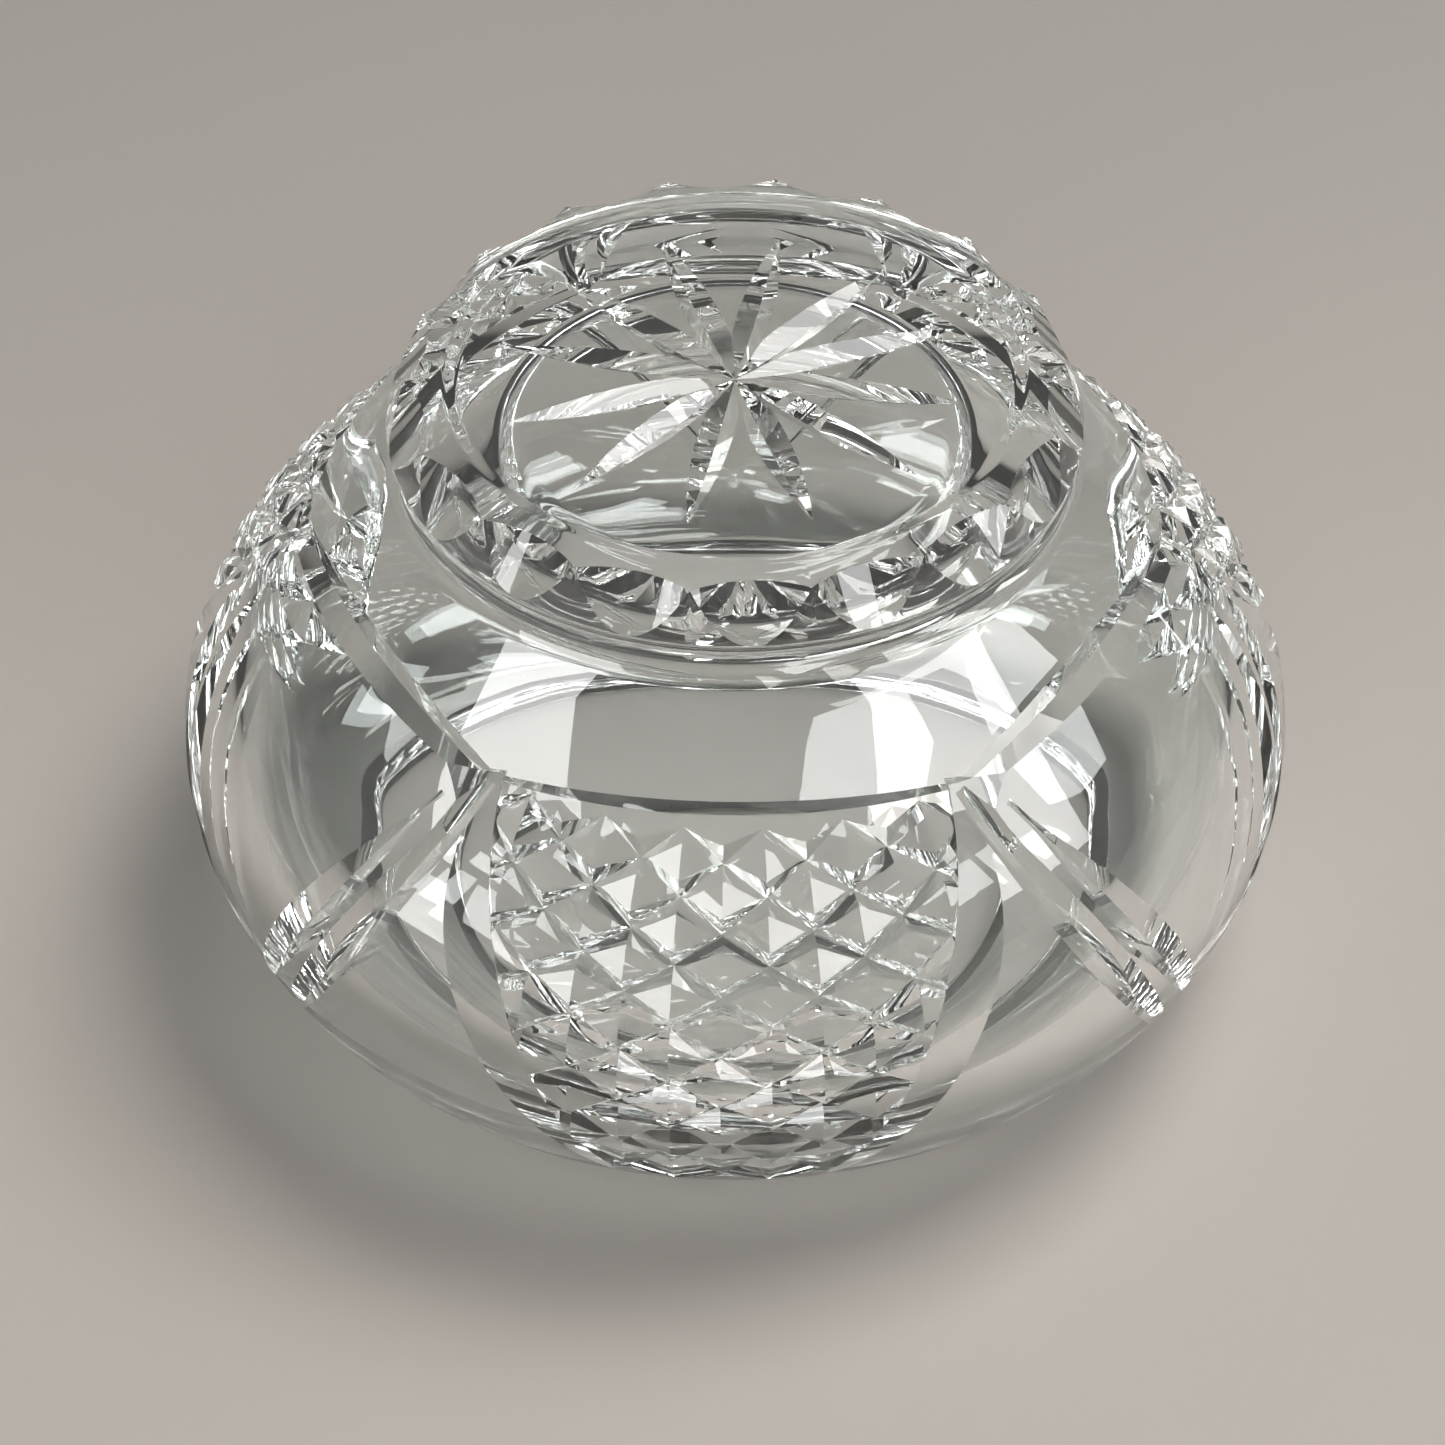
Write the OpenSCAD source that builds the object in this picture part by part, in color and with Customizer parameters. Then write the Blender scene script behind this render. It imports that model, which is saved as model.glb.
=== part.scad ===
// Cut-glass powder bowl, standing on its mouth with the star-cut foot up.
// The origin is the centre of the mouth's rim, +Z points to the foot.

/* [Body] */
// Largest outside diameter, across the belly
belly_d = 112; // [106:1:118]
// Radius of the belly in section
belly_r = 25.5; // [24.5:0.5:26.5]
// Height of the belly's widest circle above the rim
belly_z = 22.5; // [21.5:0.5:23]
// Thickness of the glass wall before cutting
wall_t = 6; // [5:0.25:7]
// Thickness of the base, from the foot's face to the cavity
base_t = 12; // [10:0.5:14]

/* [Mouth] */
// Inside diameter of the mouth, where a lid's collar sits
mouth_d = 76; // [73:0.5:78]
// Bevel on both edges of the ground rim
rim_bevel = 0.8; // [0.4:0.1:1.2]

/* [Foot] */
// Diameter across the foot's lower edge
foot_d = 67; // [64:1:70]
// Height of the fluted wall of the foot
foot_h = 4.8; // [4.2:0.2:5.6]
// How far the fluted wall leans in towards the top face
foot_lean = 1.9; // [1.5:0.1:2.3]
// Radius of the cove below the foot
cove_r = 4; // [3:0.5:5]
// Number of flutes round the foot
flute_n = 18; // [16:1:20]
// Depth of a flute at the foot's face
flute_depth = 1.7; // [1.2:0.1:2]

/* [Star] */
// Number of rays in the star
star_n = 12; // [10:1:14]
// Depth of a ray at its middle
star_depth = 1.1; // [0.8:0.1:1.4]
// Width of the plain ring the foot stands on
ring_w = 4; // [3:0.5:5]
// Depth of the hollow that keeps the star off the table
hollow_depth = 0.7; // [0.4:0.1:1]

/* [Mitre cuts] */
// Depth of the long mitre cuts
mitre_depth = 1.2; // [0.9:0.1:1.4]
// Angle of the cutting wheel's edge
mitre_angle = 110; // [100:5:120]

/* [Hidden] */
$fn = 96;
eps = 0.01;

// section of the glass
belly_c = belly_d / 2 - belly_r;
tan_r = belly_c + belly_r * cos(45);
tan_z = belly_z + belly_r * sin(45);
cone_sum = tan_r + tan_z;
rim_r = belly_c + sqrt(belly_r * belly_r - belly_z * belly_z);
foot_r = foot_d / 2;
cove_up = 38;
neck_r = foot_r - cove_r * (1 - cos(cove_up));
cove_in_r = neck_r + cove_r * (1 - cos(45));
cove_in_z = cone_sum - cove_in_r;
neck_z = cove_in_z + cove_r * sin(45);
edge_z = neck_z + cove_r * sin(cove_up);
top_r = foot_r - foot_lean;
height = edge_z + foot_h;

// section of the cavity
in_r = belly_r - wall_t;
mouth_r = mouth_d / 2;
in_tan_r = belly_c + in_r * cos(45);
in_tan_z = belly_z + in_r * sin(45);
floor_z = height - base_t;
floor_r = in_tan_r + in_tan_z - floor_z;
seat_z = belly_z - sqrt(in_r * in_r - (mouth_r - belly_c) * (mouth_r - belly_c));

// the cutting wheel
v_tall = 2.4;
lead = 0.5;

// the six points where the long cuts meet
vertex_a = 30;
vertex_z = belly_z + 0.915 * belly_r;
cap_rise = 1;
arch_rise = 3.5;

// foot flutes, which run out at the foot's edge
flute_tilt = atan((foot_lean + flute_depth) / foot_h);
flute_r = 16;
flute_h = 9;
flute_turn = 1;

// star
hollow_r = top_r - ring_w;
star_mid = hollow_r / 2;
wheel_r = (star_mid - 1) * (star_mid - 1) / (2 * star_depth);
star_span = 2 * asin(star_mid / wheel_r);
star_turn = 20;

// the body's outside at a height, and the point there at an angle from the front
function out_r(z) = z > tan_z ? cone_sum - z
    : belly_c + sqrt(belly_r * belly_r - (z - belly_z) * (z - belly_z));
function on_body(p) = [out_r(p[1]) * sin(p[0]), -out_r(p[1]) * cos(p[0]), p[1]];
function out_normal(p) = let (e = p[1] > tan_z ? 45 : asin((p[1] - belly_z) / belly_r))
    [cos(e) * sin(p[0]), -cos(e) * cos(p[0]), sin(e)];
function unit(v) = v / norm(v);

// circle through three points
function hub(a, m, b) = let (u = m - a, v = b - a, w = cross(u, v))
    a + (cross(w, u) * (v * v) + cross(v, w) * (u * u)) / (2 * (w * w));

module outer_section() {
    difference() {
        union() {
            intersection() {
                translate([belly_c, belly_z]) circle(r = belly_r);
                square([belly_d, height]);
            }
            polygon([[0, 0], [rim_r, 0], [belly_c, belly_z], [tan_r, tan_z], [cove_in_r, cove_in_z],
                [foot_r, edge_z], [top_r, height], [0, height]]);
        }
        translate([neck_r + cove_r, neck_z]) circle(r = cove_r);
        polygon([[rim_r - rim_bevel, -eps], [rim_r + 2, -eps], [rim_r + 2, rim_bevel + 2]]);
        polygon([[0, height - hollow_depth], [hollow_r, height - hollow_depth], [hollow_r + 1, height + 1 - hollow_depth],
            [0, height + 1]]);
    }
}

module cavity_section() {
    intersection() {
        translate([belly_c, belly_z]) circle(r = in_r);
        translate([0, seat_z]) square([belly_d, height]);
    }
    polygon([[0, seat_z], [mouth_r, seat_z], [belly_c, belly_z], [in_tan_r, in_tan_z],
        [floor_r, floor_z], [0, floor_z]]);
    translate([0, -1]) square([mouth_r, seat_z + 1 + eps]);
    polygon([[0, -eps], [mouth_r + rim_bevel, -eps], [mouth_r - eps, rim_bevel], [0, rim_bevel]]);
}

module blank() {
    rotate_extrude() {
        difference() {
            outer_section();
            cavity_section();
        }
    }
}

// section of the wheel's edge, its tip at the origin
module wheel_edge(angle) {
    polygon([[0, 0], [v_tall, v_tall * tan(angle / 2)], [v_tall, -v_tall * tan(angle / 2)]]);
}

// groove left by the edge of a cutting wheel through three points of the body,
// each an angle from the front and a height, cut to its own depth
module v_cut(a, m, b, depth_a, depth_m, depth_b, run = 4, angle = mitre_angle) {
    pa = on_body(a);
    pm = on_body(m);
    pb = on_body(b);
    along = unit(pb - pa);
    bow = pm - (pa + pb) / 2;
    out = unit(bow - (bow * along) * along);
    qa = pa - out * depth_a / (out * out_normal(a));
    qm = pm - out * depth_m / (out * out_normal(m));
    qb = pb - out * depth_b / (out * out_normal(b));
    c = hub(qa, qm, qb);
    rad = norm(qm - c);
    x = unit(qm - c);
    w = unit(cross(pm - pa, pb - pa));
    y = cross(w, x);
    from = atan2((qa - c) * y, (qa - c) * x) - lead;
    to = atan2((qb - c) * y, (qb - c) * x) + run;
    n = out_normal(m);
    lean = atan2(n * w, n * x);
    multmatrix([[x[0], y[0], w[0], c[0]], [x[1], y[1], w[1], c[1]], [x[2], y[2], w[2], c[2]], [0, 0, 0, 1]])
    rotate([0, 0, from])
    rotate_extrude(angle = to - from)
    translate([rad, 0])
    rotate(lean)
    wheel_edge(angle);
}

// one of the long cuts of a third of the body: the cap line over the diamond panel, the arch of
// the next plain panel, then to each side an arc beside the diamonds and a pair of leaf cuts
module long_cut(i) {
    half = mitre_depth / 2;
    if (i == 0) v_cut([-vertex_a, vertex_z], [0, vertex_z + cap_rise], [vertex_a, vertex_z],
        half, mitre_depth, half, lead);
    if (i == 1) v_cut([vertex_a, vertex_z], [2 * vertex_a, vertex_z + arch_rise], [3 * vertex_a, vertex_z],
        half, mitre_depth, half, lead);
    if (i > 1) mirror([i % 2, 0, 0]) {
        if (i < 4) v_cut([vertex_a, vertex_z], [24.3, belly_z + 7], [10, belly_z - 14],
            mitre_depth, mitre_depth, 0);
        if (i > 3 && i < 6) v_cut([vertex_a + 1, vertex_z - 1], [39.5, belly_z + 8], [58, belly_z - 17],
            mitre_depth, mitre_depth, 0);
        if (i > 5) v_cut([vertex_a + 6, vertex_z - 2], [43.5, belly_z + 8], [62, belly_z - 16],
            half, mitre_depth, 0);
    }
}

module flute() {
    translate([0, -top_r + flute_depth, height])
    rotate([-flute_tilt, 0, 0])
    translate([0, -flute_r, -flute_h])
    cylinder(r = flute_r, h = 2 * flute_h);
}

// one ray of the star, cut by a wheel that dips into the foot's hollow face
module star_ray() {
    translate([0, -star_mid, height - hollow_depth - star_depth + wheel_r])
    rotate([0, 90, 0])
    rotate([0, 0, -star_span])
    rotate_extrude(angle = 2 * star_span)
    translate([wheel_r, 0])
    rotate(180)
    wheel_edge(mitre_angle);
}

// the wheel's cuts in the order they are made
module wheel(i) {
    j = i - flute_n - star_n;
    if (i < flute_n) rotate([0, 0, flute_turn + i * 360 / flute_n]) flute();
    else if (j < 0) rotate([0, 0, star_turn + i * 360 / star_n]) star_ray();
    else rotate([0, 0, 120 * floor(j / 8)]) long_cut(j % 8);
}

// the blank after its first cuts, each made in the glass the last one left
module ground(cuts) {
    if (cuts == 0) blank();
    else difference() {
        ground(cuts - 1);
        wheel(cuts - 1);
    }
}

module bowl() {
    color([0.86, 0.9, 0.89, 0.55])
    ground(flute_n + star_n + 24);
}

bowl();
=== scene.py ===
import bpy
import math
import numpy as np
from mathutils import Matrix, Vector


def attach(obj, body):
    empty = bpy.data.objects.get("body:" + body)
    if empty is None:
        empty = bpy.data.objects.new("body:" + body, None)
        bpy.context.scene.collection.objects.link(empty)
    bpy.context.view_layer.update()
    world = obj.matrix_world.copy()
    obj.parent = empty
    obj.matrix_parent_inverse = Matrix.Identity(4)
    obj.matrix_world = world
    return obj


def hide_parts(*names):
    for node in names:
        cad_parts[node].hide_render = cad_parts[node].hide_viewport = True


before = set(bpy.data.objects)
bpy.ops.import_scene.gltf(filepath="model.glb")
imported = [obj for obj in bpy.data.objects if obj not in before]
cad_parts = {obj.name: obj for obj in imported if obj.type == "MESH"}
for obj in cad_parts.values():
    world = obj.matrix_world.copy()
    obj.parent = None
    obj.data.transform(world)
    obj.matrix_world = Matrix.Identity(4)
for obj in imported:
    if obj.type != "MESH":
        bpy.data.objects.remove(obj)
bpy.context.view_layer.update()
scene = bpy.context.scene
MM = 0.001
SQ = math.sqrt(0.5)

# Sizes of the glass in mm: the bowl stands on its mouth, with the rim at z = 0 and the foot up
BELLY_D, BELLY_R, BELLY_Z = 112.0, 25.5, 22.5
WALL, BASE = 6.0, 12.0
MOUTH_R, BEVEL, RIM_IN = 38.0, 0.8, 0.6
FOOT_R, FOOT_H, FOOT_LEAN = 33.5, 4.8, 1.9
COVE_R, COVE_UP = 4.0, 38.0
RING_W, HOLLOW, HOLLOW_RUN = 5.0, 0.25, 1.2
FLOOR_R, FLOOR_ROUND = 22.0, 5.0
SOFT_ROUND, EDGE_ROUND, RIM_ROUND = 2.5, 0.25, 1.0

# Section of the outside: belly, shoulder cone, cove and foot
BELLY_C = BELLY_D / 2 - BELLY_R
TAN_R, TAN_Z = BELLY_C + BELLY_R * SQ, BELLY_Z + BELLY_R * SQ
CONE = TAN_R + TAN_Z
RIM_R = BELLY_C + math.sqrt(BELLY_R ** 2 - BELLY_Z ** 2)
NECK_R = FOOT_R - COVE_R * (1 - math.cos(math.radians(COVE_UP)))
COVE_IN_R = NECK_R + COVE_R * (1 - SQ)
NECK_Z = CONE - COVE_IN_R + COVE_R * SQ
EDGE_Z = NECK_Z + COVE_R * math.sin(math.radians(COVE_UP))
TOP_R, HEIGHT = FOOT_R - FOOT_LEAN, EDGE_Z + FOOT_H
HOLLOW_R, FACE_Z = TOP_R - RING_W, HEIGHT - HOLLOW

# Section of the cavity
IN_R = BELLY_R - WALL
FLOOR_Z = HEIGHT - BASE
SEAT_Z = BELLY_Z - math.sqrt(IN_R ** 2 - (MOUTH_R - BELLY_C) ** 2)

# Long mitre cuts, through places given as an angle from the front and a height
MITRE, MITRE_ANGLE, V_TALL = 1.4, 110, 3.2
VERTEX_A, VERTEX_Z = 30, BELLY_Z + 0.925 * BELLY_R
CAP_Z, ARCH_Z = VERTEX_Z + 0.4, VERTEX_Z + 2.4
CAP_TILT, SIDE_TILT = -14, 18
SIDE_MID, SIDE_END = (22.3, BELLY_Z + 7), (10.5, BELLY_Z - 15)
LEAF = (31, VERTEX_Z - 1), (39.5, BELLY_Z + 8), (58, BELLY_Z - 17)
LEAF_PAIR = (36, VERTEX_Z - 2), (45.3, BELLY_Z + 8), (57, BELLY_Z - 11)
LEAF_PAIR_START = 0.2
# How far a cut runs past its two end places, in degrees of its own arc
LEAD, RUN_OUT = 0.5, 4.0

# Diamond panels: depth of the grooves, width of a diamond in degrees and half its height in mm
DEEP, TOP_DEEP = 1.7, 0.85
STEP, ROW, ROWS, COLS = 10.0, 0.1275 * BELLY_R, 13, 7
CONE_S = (CAP_Z - TAN_Z) * math.sqrt(2)
# The zigzag edge over the first row: rows above a crossing, rows above the cap, height clear of the glass
SHORE, SHORE_TOP, SHORE_CLEAR = 0.75, 0.3, 0.3
# The short upright ridge of a diamond and its two side points: half steps across, rows down, depth
RIDGE = ((0, -0.53, 0.4), (0, 0.53, 0.05), (-0.8, 0, 1.25), (0.8, 0, 1.25))

# Flutes round the foot and rays of its star
FLUTES, FLUTE_TURN, FLUTE_DEPTH, FLUTE_R, FLUTE_H = 18, 4, 1.7, 16.0, 9.0
RAYS, RAY_TURN, RAY_DEPTH, RAY_MID, RAY_HALF = 12, 20, 1.2, 9.5, 13.0
RAY_STAGGER, RAY_OVERRUN = 0.02, 1.2

# Fineness of the mesh
TURN_PARTS, FLUTE_PARTS, CUT_PARTS, RAY_PARTS = 480, 192, 64, 41
SHARP, MERGE = math.radians(14), 0.02


def arc(cx, cz, r, a0, a1, step=1.5):
    """Points of an arc from angle a0 to a1, in degrees."""
    n = max(2, int(abs(a1 - a0) / step) + 1)
    a = np.radians(np.linspace(a0, a1, n))
    return [(cx + r * math.cos(t), cz + r * math.sin(t)) for t in a]


def corner(p, a, b, r, n):
    """Points that round corner p between points a and b with radius r."""
    p, a, b = (np.array(v, float) for v in (p, a, b))
    u, v = (a - p) / np.linalg.norm(a - p), (b - p) / np.linalg.norm(b - p)
    half = math.acos(float(np.clip(u @ v, -1, 1))) / 2
    t = r / math.tan(half)
    c = p + (u + v) / np.linalg.norm(u + v) * r / math.sin(half)
    s, e = p + u * t - c, p + v * t - c
    a0, a1 = math.atan2(s[1], s[0]), math.atan2(e[1], e[0])
    if a1 - a0 > math.pi:
        a1 -= 2 * math.pi
    if a0 - a1 > math.pi:
        a1 += 2 * math.pi
    return [tuple(c + r * np.array([math.cos(x), math.sin(x)])) for x in np.linspace(a0, a1, n)]


def outside():
    """Outline from the middle of the foot's face down to the end of the belly."""
    ring = HOLLOW_R + HOLLOW_RUN
    # extra points on the flat face keep its triangles short
    pts = [(r, FACE_Z) for r in (0, 8, 16, HOLLOW_R - 1.5)]
    pts += corner((HOLLOW_R, FACE_Z), (0, FACE_Z), (ring, HEIGHT), SOFT_ROUND, 7)
    pts += corner((ring, HEIGHT), (HOLLOW_R, FACE_Z), (TOP_R, HEIGHT), SOFT_ROUND, 7)
    pts += corner((TOP_R, HEIGHT), (HOLLOW_R, HEIGHT), (FOOT_R, EDGE_Z), EDGE_ROUND, 5)
    cove = arc(NECK_R + COVE_R, NECK_Z, COVE_R, 180 - COVE_UP, 225, 4)
    pts += corner((FOOT_R, EDGE_Z), (TOP_R, HEIGHT), cove[1], EDGE_ROUND, 5) + cove[1:]
    for k in range(1, 8):
        down = (TAN_R - COVE_IN_R) * k / 8
        pts.append((COVE_IN_R + down, CONE - COVE_IN_R - down))
    low = -math.degrees(math.asin((BELLY_Z - BEVEL) / BELLY_R))
    return pts + arc(BELLY_C, BELLY_Z, BELLY_R, 45, low)


def inside():
    """Outline from the mouth up the inner wall, which leaves its arc straight for the floor's corner."""
    seat = math.degrees(math.asin((SEAT_Z - BELLY_Z) / IN_R))
    reach, rise = FLOOR_R - BELLY_C, FLOOR_Z - BELLY_Z
    leave = math.atan2(rise, reach) - math.acos(IN_R / math.hypot(reach, rise))
    wall = arc(BELLY_C, BELLY_Z, IN_R, seat, math.degrees(leave))
    floor_corner = corner((FLOOR_R, FLOOR_Z), wall[-1], (0, FLOOR_Z), FLOOR_ROUND, 8)
    return wall + floor_corner + [(12, FLOOR_Z), (0, FLOOR_Z)]


def section():
    """Closed outline of the glass, without points that lie on top of each other."""
    pts = outside()
    pts += corner((RIM_R - RIM_IN, 0), pts[-1], (MOUTH_R, 0), RIM_ROUND, 6)
    pts += corner((MOUTH_R, 0), (RIM_R, 0), (MOUTH_R, SEAT_Z), RIM_ROUND, 8)
    pts += inside()
    out = [pts[0]]
    for p in pts[1:]:
        if math.dist(p, out[-1]) > MERGE:
            out.append(p)
    return out


def mesh_object(name, verts, faces):
    me = bpy.data.meshes.new(name)
    me.from_pydata([tuple(v) for v in verts], [], faces)
    me.update()
    ob = bpy.data.objects.new(name, me)
    scene.collection.objects.link(ob)
    return ob


def revolve(name, pts, n):
    """Solid of revolution of an outline that starts and ends on the axis."""
    verts, faces, rings = [], [], []
    turns = [2 * math.pi * k / n for k in range(n)]
    for r, z in pts:
        if r < 1e-6:
            rings.append([len(verts)])
            verts.append((0, 0, z))
            continue
        rings.append(list(range(len(verts), len(verts) + n)))
        verts += [(r * math.sin(t), -r * math.cos(t), z) for t in turns]
    for a, b in zip(rings[:-1], rings[1:]):
        for k in range(n):
            m = (k + 1) % n
            if len(a) == 1:
                faces.append((a[0], b[k], b[m]))
            elif len(b) == 1:
                faces.append((a[k], b[0], a[m]))
            else:
                faces.append((a[k], b[k], b[m], a[m]))
    return mesh_object(name, verts, faces)


def out_r(z):
    """Radius of the plain body at height z."""
    return CONE - z if z > TAN_Z else BELLY_C + math.sqrt(BELLY_R ** 2 - (z - BELLY_Z) ** 2)


def on_body(deg, z):
    """Point of the plain body at an angle from the front and a height."""
    t, r = math.radians(deg), out_r(z)
    return np.array([r * math.sin(t), -r * math.cos(t), z])


def normal(p):
    """Outward normal of the plain body at or near point p."""
    r = math.hypot(p[0], p[1])
    dr, dz = r - BELLY_C, p[2] - BELLY_Z
    if dz > dr:
        dr = dz = 1.0
    k = math.hypot(dr, dz)
    return np.array([p[0] / r * dr / k, p[1] / r * dr / k, dz / k])


def unit(v):
    return v / np.linalg.norm(v)


def cutter(verts, faces):
    """A closed cutter with its faces turned outwards."""
    ob = mesh_object("cut", verts, faces)
    v = np.array([tuple(p) for p in verts])
    total = 0.0
    for f in faces:
        for i in range(1, len(f) - 1):
            total += v[f[0]] @ np.cross(v[f[i]], v[f[i + 1]])
    if total < 0:
        ob.data.flip_normals()
    return ob


def swept(rings):
    """A cutter through a row of like sections."""
    n = len(rings[0])
    faces = []
    for i in range(len(rings) - 1):
        a, b = n * i, n * i + n
        faces += [(a + j, a + (j + 1) % n, b + (j + 1) % n, b + j) for j in range(n)]
    e = n * (len(rings) - 1)
    faces += [tuple(range(n - 1, -1, -1)), tuple(range(e, e + n))]
    return cutter([p for ring in rings for p in ring], faces)


def wheel_edge(turn):
    """Section of the wheel's edge, its tip at the origin, turned by an angle."""
    c, s, k = math.cos(turn), math.sin(turn), V_TALL * math.tan(math.radians(MITRE_ANGLE / 2))
    return [(x * c - y * s, x * s + y * c) for x, y in ((0, 0), (V_TALL, k), (V_TALL, -k))]


def v_cut(places, depths, run=RUN_OUT, tilt=0.0):
    """Groove of a wheel through three places on the body, cut to a depth at each."""
    pa, pm, pb = (on_body(*place) for place in places)
    along = unit(pb - pa)
    bow = pm - (pa + pb) / 2
    out = unit(bow - (bow @ along) * along)
    qa, qm, qb = (p - out * d / (out @ normal(p)) for p, d in zip((pa, pm, pb), depths))
    u, v = qm - qa, qb - qa
    w = np.cross(u, v)
    c = qa + (np.cross(w, u) * (v @ v) + np.cross(v, w) * (u @ u)) / (2 * (w @ w))
    rad, x, w = np.linalg.norm(qm - c), unit(qm - c), unit(np.cross(pm - pa, pb - pa))
    y = np.cross(w, x)
    t0 = math.atan2((qa - c) @ y, (qa - c) @ x) - math.radians(LEAD)
    t1 = math.atan2((qb - c) @ y, (qb - c) @ x) + math.radians(run)
    lean = math.atan2(normal(pm) @ w, normal(pm) @ x)
    edge = wheel_edge(lean + math.radians(tilt))
    rings = []
    for t in np.linspace(t0, t1, CUT_PARTS):
        d = math.cos(t) * x + math.sin(t) * y
        rings.append([c + (rad + ex) * d + ey * w for ex, ey in edge])
    return swept(rings)


def turned(ob, deg, flip=False):
    """A copy of a cutter turned about the axis, mirrored first if asked."""
    me = ob.data.copy()
    co = np.empty(len(me.vertices) * 3)
    me.vertices.foreach_get("co", co)
    co = co.reshape(-1, 3)
    if flip:
        co[:, 0] *= -1
        me.flip_normals()
    t = math.radians(deg)
    c, s = math.cos(t), math.sin(t)
    co = co @ np.array([[c, s, 0], [-s, c, 0], [0, 0, 1]])
    me.vertices.foreach_set("co", co.ravel())
    me.update()
    new = bpy.data.objects.new(ob.name, me)
    scene.collection.objects.link(new)
    return new


def carve(ob, cutters):
    """Cuts all the cutters out of ob in one step."""
    group = bpy.data.collections.new("cutters")
    for c in cutters:
        scene.collection.objects.unlink(c)
        group.objects.link(c)
    mod = ob.modifiers.new("cut", "BOOLEAN")
    mod.operation, mod.solver = "DIFFERENCE", "MANIFOLD"
    mod.operand_type, mod.collection = "COLLECTION", group
    dg = bpy.context.evaluated_depsgraph_get()
    me = bpy.data.meshes.new_from_object(ob.evaluated_get(dg))
    ob.modifiers.remove(mod)
    ob.data = me
    for c in cutters:
        bpy.data.objects.remove(c)
    bpy.data.collections.remove(group)


def relief(col, row, deep):
    """Point of the diamond panel at a depth, in half steps round the body and rows down from the cap."""
    s = row * ROW
    z = CAP_Z - s * SQ
    if s >= CONE_S:
        z = BELLY_Z + BELLY_R * math.sin(math.radians(45) - (s - CONE_S) / BELLY_R)
    p = on_body(col * STEP / 2, z)
    return p - normal(p) * deep


def past_side():
    """Block of all that lies past the plane of a side arc."""
    a, p, b = on_body(*SIDE_END), on_body(*SIDE_MID), on_body(VERTEX_A, VERTEX_Z)
    x = unit(b - a)
    n = unit(np.cross(x, p - a))
    y = np.cross(n, x)
    ring = [p + (i * x + j * y) * BELLY_D for i, j in ((-1, -1), (1, -1), (1, 1), (-1, 1))]
    return swept([ring, [q + n * BELLY_D for q in ring]])


def diamonds():
    """Glass taken off one panel between its side arcs, to leave the diamonds with their ridges."""
    verts, faces, made = [], [], {}

    def shared(key, col, row, deep):
        if key not in made:
            made[key] = len(verts)
            verts.append(relief(col, row, deep))
        return made[key]

    def crossing(col, row):
        return shared((col, row), col, row, DEEP if row else TOP_DEEP)

    def shore(col, row):
        return shared((col, row, "shore"), col, row - (SHORE if row else SHORE_TOP), -SHORE_CLEAR)

    for row in range(1, ROWS + 1):
        for col in range(-COLS, COLS + 1):
            if (col + row) % 2:
                continue
            left, right = crossing(col - 1, row), crossing(col + 1, row)
            up, down = crossing(col, row - 1), crossing(col, row + 1)
            if row == 1:
                bank = shore(col, 0)
                faces += [(up, left, shore(col - 1, 1)), (up, shore(col - 1, 1), bank)]
                faces += [(right, up, bank), (right, bank, shore(col + 1, 1))]
            top, low, west, east = range(len(verts), len(verts) + 4)
            verts += [relief(col + across, row + down_by, deep) for across, down_by, deep in RIDGE]
            faces += [(west, top, low), (east, low, top)]
            faces += [(left, up, top), (left, top, west), (up, right, east), (up, east, top)]
            faces += [(right, down, low), (right, low, east), (down, left, west), (down, west, low)]
    # the open edges close to a point far out in front
    edges = {(f[i], f[(i + 1) % 3]) for f in faces for i in range(3)}
    apex = len(verts)
    verts.append(np.array([0.0, -2 * BELLY_D, BELLY_Z]))
    faces += [(j, i, apex) for i, j in edges if (j, i) not in edges]
    ob = cutter(verts, faces)
    side = past_side()
    carve(ob, [turned(side, 0, True), side])
    return ob


def body_cutters():
    """The cuts of the body: three times a panel, a cap line, an arch and the pairs of side cuts."""
    half = MITRE / 2
    left, right = (-VERTEX_A, VERTEX_Z), (VERTEX_A, VERTEX_Z)
    next_left = (3 * VERTEX_A, VERTEX_Z)
    whole = [
        v_cut((left, (0, CAP_Z), right), (half, MITRE, half), LEAD, CAP_TILT),
        v_cut((right, (2 * VERTEX_A, ARCH_Z), next_left), (half, MITRE, half), LEAD),
        diamonds(),
    ]
    sided = [
        v_cut((right, SIDE_MID, SIDE_END), (MITRE, MITRE, 0), tilt=SIDE_TILT),
        v_cut(LEAF, (MITRE, MITRE, 0)),
        v_cut(LEAF_PAIR, (LEAF_PAIR_START, MITRE, 0)),
    ]
    cutters = []
    for third in range(3):
        cutters += [turned(ob, 120 * third) for ob in whole]
        cutters += [turned(ob, 120 * third, flip) for ob in sided for flip in (False, True)]
    for ob in whole + sided:
        bpy.data.objects.remove(ob)
    return cutters


def flutes():
    """Cylinders that lean in over the foot's wall and run out at its lower edge."""
    tilt = math.atan((FOOT_LEAN + FLUTE_DEPTH) / FOOT_H)
    c, s = math.cos(tilt), math.sin(tilt)
    rings = []
    for z in (-FLUTE_H, FLUTE_H):
        ring = []
        for k in range(FLUTE_PARTS):
            t = 2 * math.pi * k / FLUTE_PARTS
            x, y = FLUTE_R * math.cos(t), FLUTE_R * math.sin(t) - FLUTE_R
            ring.append((x, y * c + z * s - TOP_R + FLUTE_DEPTH, -y * s + z * c + HEIGHT))
        rings.append(ring)
    flute = swept(rings)
    cutters = [turned(flute, FLUTE_TURN + 360 / FLUTES * i) for i in range(FLUTES)]
    bpy.data.objects.remove(flute)
    return cutters


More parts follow.
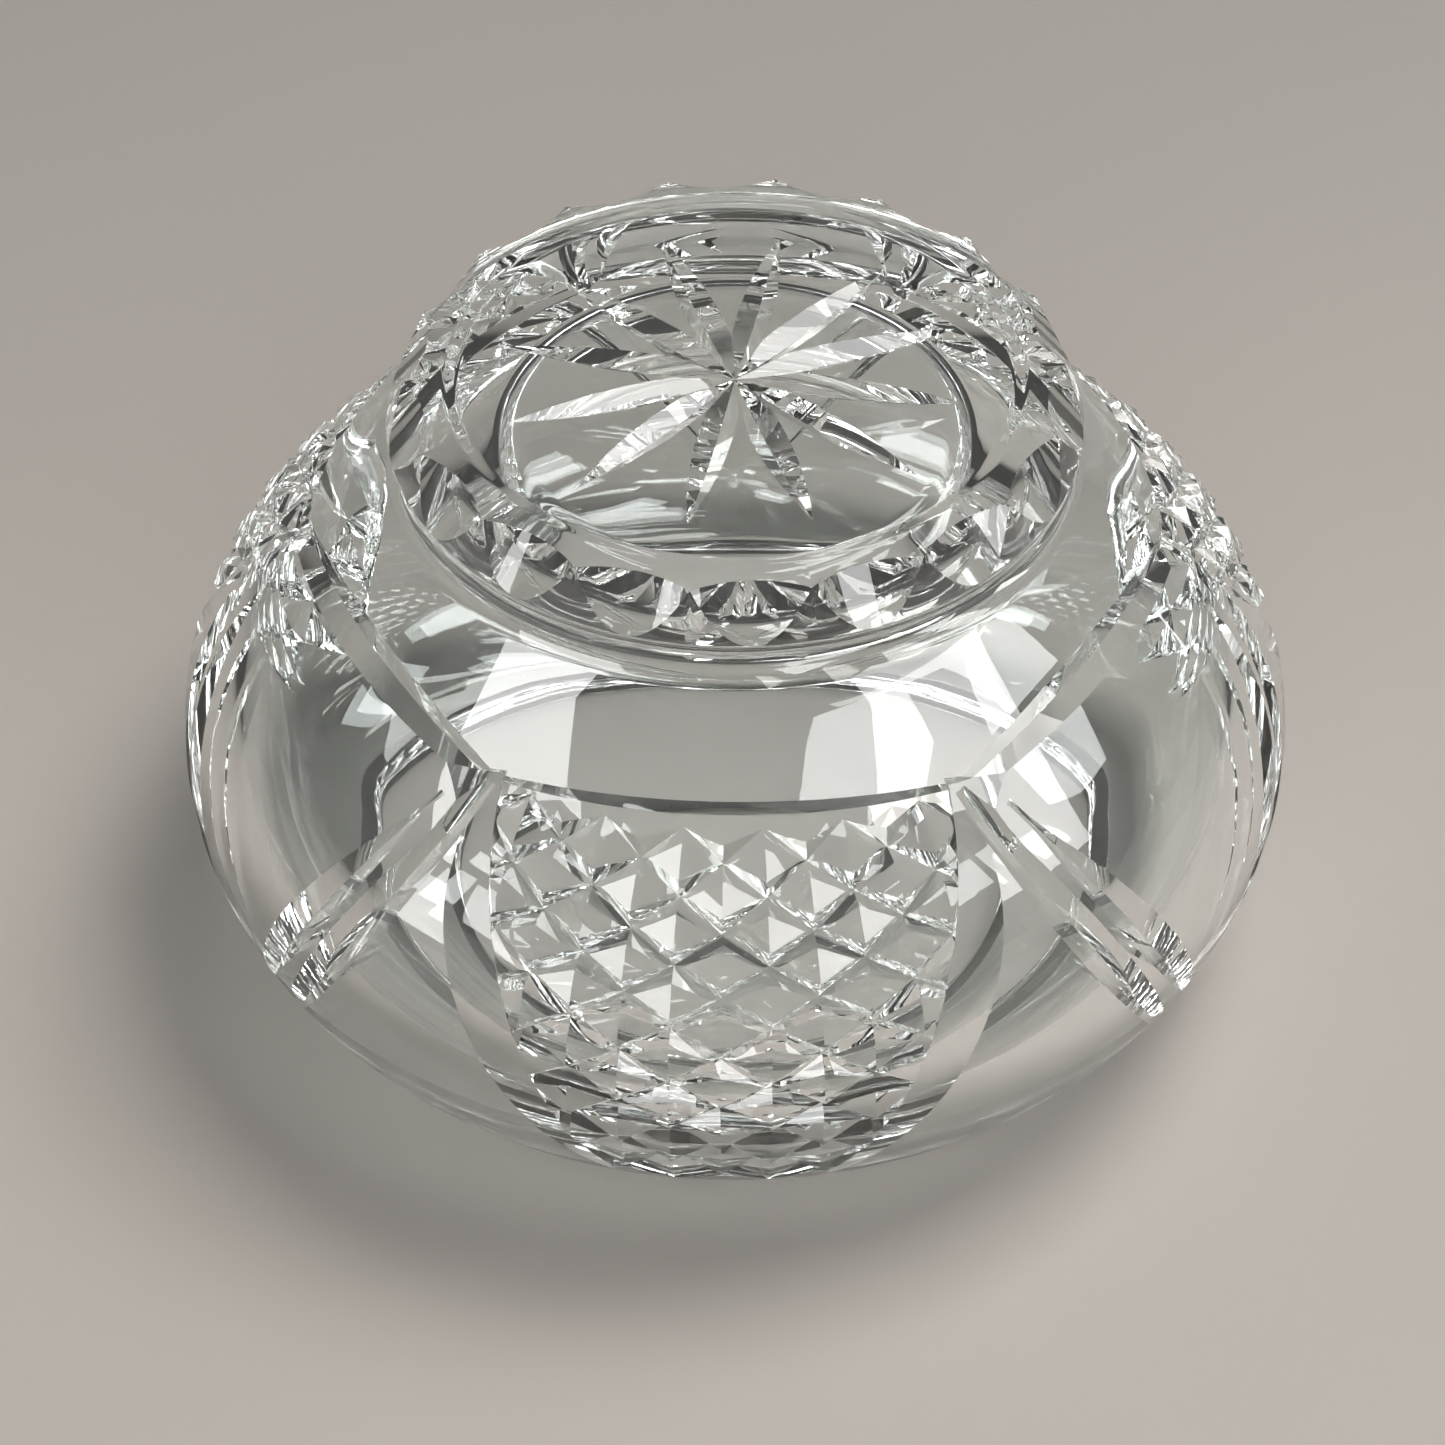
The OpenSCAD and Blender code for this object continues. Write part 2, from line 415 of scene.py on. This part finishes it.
def star():
    """Rays that a wheel dips into the foot's face, with small differences in depth."""
    wheel = RAY_HALF ** 2 / (2 * RAY_DEPTH)
    span = math.asin(RAY_OVERRUN * RAY_HALF / wheel)
    cutters = []
    for i in range(RAYS):
        hub = FACE_Z - RAY_DEPTH + RAY_STAGGER * (i % 3) + wheel
        rings = []
        for t in np.linspace(-span, span, RAY_PARTS):
            ring = []
            for ex, ey in wheel_edge(math.pi):
                r = wheel + ex
                ring.append((ey, r * math.sin(t) - RAY_MID, hub - r * math.cos(t)))
            rings.append(ring)
        ray = swept(rings)
        cutters.append(turned(ray, RAY_TURN + 360 / RAYS * i))
        bpy.data.objects.remove(ray)
    return cutters


def cut_bowl():
    """The blank with all its cuts, in metres, with its facets sharp and its curves smooth."""
    ob = revolve("bowl_glass", section(), TURN_PARTS)
    carve(ob, body_cutters() + flutes() + star())
    me = ob.data
    co = np.empty(len(me.vertices) * 3)
    me.vertices.foreach_get("co", co)
    me.vertices.foreach_set("co", co * MM)
    me.polygons.foreach_set("use_smooth", np.ones(len(me.polygons), bool))
    me.set_sharp_from_angle(angle=SHARP)
    me.update()
    return ob


def new_material(name):
    mat = bpy.data.materials.new(name)
    mat.use_nodes = True
    return mat, mat.node_tree, mat.node_tree.nodes["Principled BSDF"]


def noise(nt, coord, scale, detail):
    tex = nt.nodes.new("ShaderNodeTexNoise")
    tex.inputs["Scale"].default_value = scale
    tex.inputs["Detail"].default_value = detail
    nt.links.new(coord.outputs["Object"], tex.inputs["Vector"])
    return tex


def bump_from(nt, bsdf, tex, strength, distance):
    bump = nt.nodes.new("ShaderNodeBump")
    bump.inputs["Strength"].default_value = strength
    bump.inputs["Distance"].default_value = distance
    nt.links.new(tex.outputs["Fac"], bump.inputs["Height"])
    nt.links.new(bump.outputs["Normal"], bsdf.inputs["Normal"])


def colour_mix(nt, bsdf, a, b):
    """Base colour between a and b; returns the socket that says how much of b."""
    mix = nt.nodes.new("ShaderNodeMix")
    mix.data_type = "RGBA"
    mix.inputs[6].default_value = a
    mix.inputs[7].default_value = b
    nt.links.new(mix.outputs[2], bsdf.inputs["Base Color"])
    return mix.inputs["Factor"]


def crystal():
    """Clear glass with a cool tint, faint waves and fine wear in its polish."""
    mat, nt, bsdf = new_material("crystal")
    bsdf.inputs["Transmission Weight"].default_value = 1.0
    bsdf.inputs["IOR"].default_value = 1.54
    coord = nt.nodes.new("ShaderNodeTexCoord")
    wave = noise(nt, coord, 55.0, 2.0)
    fine = noise(nt, coord, 900.0, 4.0)
    bump_from(nt, bsdf, wave, 0.05, 0.0001)
    tint = colour_mix(nt, bsdf, (0.955, 0.988, 0.982, 1), (0.972, 0.995, 0.99, 1))
    nt.links.new(wave.outputs["Fac"], tint)
    rough = nt.nodes.new("ShaderNodeMapRange")
    rough.inputs["From Min"].default_value = 0.45
    rough.inputs["From Max"].default_value = 0.75
    rough.inputs["To Min"].default_value = 0.0
    rough.inputs["To Max"].default_value = 0.015
    nt.links.new(fine.outputs["Fac"], rough.inputs["Value"])
    nt.links.new(rough.outputs["Result"], bsdf.inputs["Roughness"])
    return mat


def table():
    """Pale matt top, with painted shade darkening it towards the rear as the light falls off, soft
    blotches and grain.
    """
    mat, nt, bsdf = new_material("table")
    bsdf.inputs["Roughness"].default_value = 0.6
    bsdf.inputs["Specular IOR Level"].default_value = 0.25
    coord = nt.nodes.new("ShaderNodeTexCoord")
    soft = noise(nt, coord, 6.0, 3.0)
    grain = noise(nt, coord, 1400.0, 2.0)
    bump_from(nt, bsdf, grain, 0.05, 0.0002)
    # painted shade: the darker second colour stands in for the light falling off towards the rear; a
    # quarter of soft blotches is mixed in
    painted_shade_and_blotches = colour_mix(nt, bsdf, (0.58, 0.535, 0.495, 1), (0.385, 0.37, 0.35, 1))
    axes = nt.nodes.new("ShaderNodeSeparateXYZ")
    painted_falloff = nt.nodes.new("ShaderNodeMapRange")
    painted_falloff.inputs["From Min"].default_value = -0.14
    painted_falloff.inputs["From Max"].default_value = 0.16
    falloff_and_blotches = nt.nodes.new("ShaderNodeMix")
    falloff_and_blotches.inputs["Factor"].default_value = 0.25
    nt.links.new(coord.outputs["Object"], axes.inputs["Vector"])
    nt.links.new(axes.outputs["Y"], painted_falloff.inputs["Value"])
    nt.links.new(painted_falloff.outputs["Result"], falloff_and_blotches.inputs["A"])
    nt.links.new(soft.outputs["Fac"], falloff_and_blotches.inputs["B"])
    nt.links.new(falloff_and_blotches.outputs["Result"], painted_shade_and_blotches)
    return mat


def towards(az, el):
    """Direction in degrees: az 0 to the viewer and + to the right, el up from the table."""
    a, e = math.radians(az), math.radians(el)
    return Vector((math.sin(a) * math.cos(e), -math.cos(a) * math.cos(e), math.sin(e)))


def panel(name, az, el, wide, high, power, colour=(1, 1, 1), dist=1.6):
    """Soft light in a direction, sized in degrees as the bowl sees it."""
    data = bpy.data.lights.new(name, "AREA")
    data.shape = "RECTANGLE"
    data.size = 2 * dist * math.tan(math.radians(wide / 2))
    data.size_y = 2 * dist * math.tan(math.radians(high / 2))
    data.energy = power * data.size * data.size_y * math.pi
    data.color = colour
    ob = bpy.data.objects.new(name, data)
    out = towards(az, el)
    ob.location = out * dist + Vector((0, 0, 0.04))
    ob.rotation_euler = out.to_track_quat("Z", "Y").to_euler()
    scene.collection.objects.link(ob)
    return ob


bowl = cut_bowl()
bowl.data.materials.clear()
bowl.data.materials.append(crystal())
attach(bowl, "root")
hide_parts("bowl")

TABLE_HALF = 2.5
corners = [(x * TABLE_HALF, y * TABLE_HALF, 0) for x, y in ((-1, -1), (1, -1), (1, 1), (-1, 1))]
floor = mesh_object("floor", corners, [(0, 1, 2, 3)])
floor.data.materials.append(table())

# the windows gleam in the glass and leave the table as it is
windows = [
    panel("window left", -56, 36, 28, 9, 10.0),
    panel("low window", -48, 14, 32, 22, 8.5),
    panel("window right", 60, 33, 34, 20, 8.5),
    panel("high window", 57, 65, 26, 11, 9.0),
    panel("side window", 105, 45, 16, 12, 9.0),
]
for window in windows:
    window.visible_diffuse = False
# the light behind throws the shadow, and the room's light fills the table without showing in the glass
behind = panel("light behind", 122, 64, 30, 30, 8.6, (1.0, 0.97, 0.94))
room = panel("room", 10, 42, 60, 34, 2.0, (1.0, 0.98, 0.96))
room.visible_glossy = False
room.visible_transmission = False
world = bpy.data.worlds.new("room")
scene.world = world
world.use_nodes = True
world.node_tree.nodes["Background"].inputs["Color"].default_value = (0.52, 0.51, 0.49, 1)
world.node_tree.nodes["Background"].inputs["Strength"].default_value = 0.11

# the photograph's view: its width, focal length and shift in pixels, then direction and distance
PHOTO, FOCAL, SHIFT_X, SHIFT_Y = 1445, 4084.48, -12.53, -21.4
CAM_AZ, CAM_EL, CAM_DIST = 1.4, 43.1, 0.4185
cam_data = bpy.data.cameras.new("camera")
cam_data.sensor_width = 36.0
cam_data.lens = cam_data.sensor_width * FOCAL / PHOTO
cam_data.shift_x = SHIFT_X / PHOTO
cam_data.shift_y = SHIFT_Y / PHOTO
cam_data.clip_start = 0.01
cam = bpy.data.objects.new("camera", cam_data)
out = towards(CAM_AZ, CAM_EL)
cam.location = Vector((0, 0, BELLY_Z * MM)) + out * CAM_DIST
cam.rotation_euler = out.to_track_quat("Z", "Y").to_euler()
scene.collection.objects.link(cam)
scene.camera = cam
scene.view_settings.view_transform = "Standard"
# cut glass needs long light paths, or its facets go black
scene.cycles.max_bounces = 64
scene.cycles.transmission_bounces = 64
scene.cycles.glossy_bounces = 48
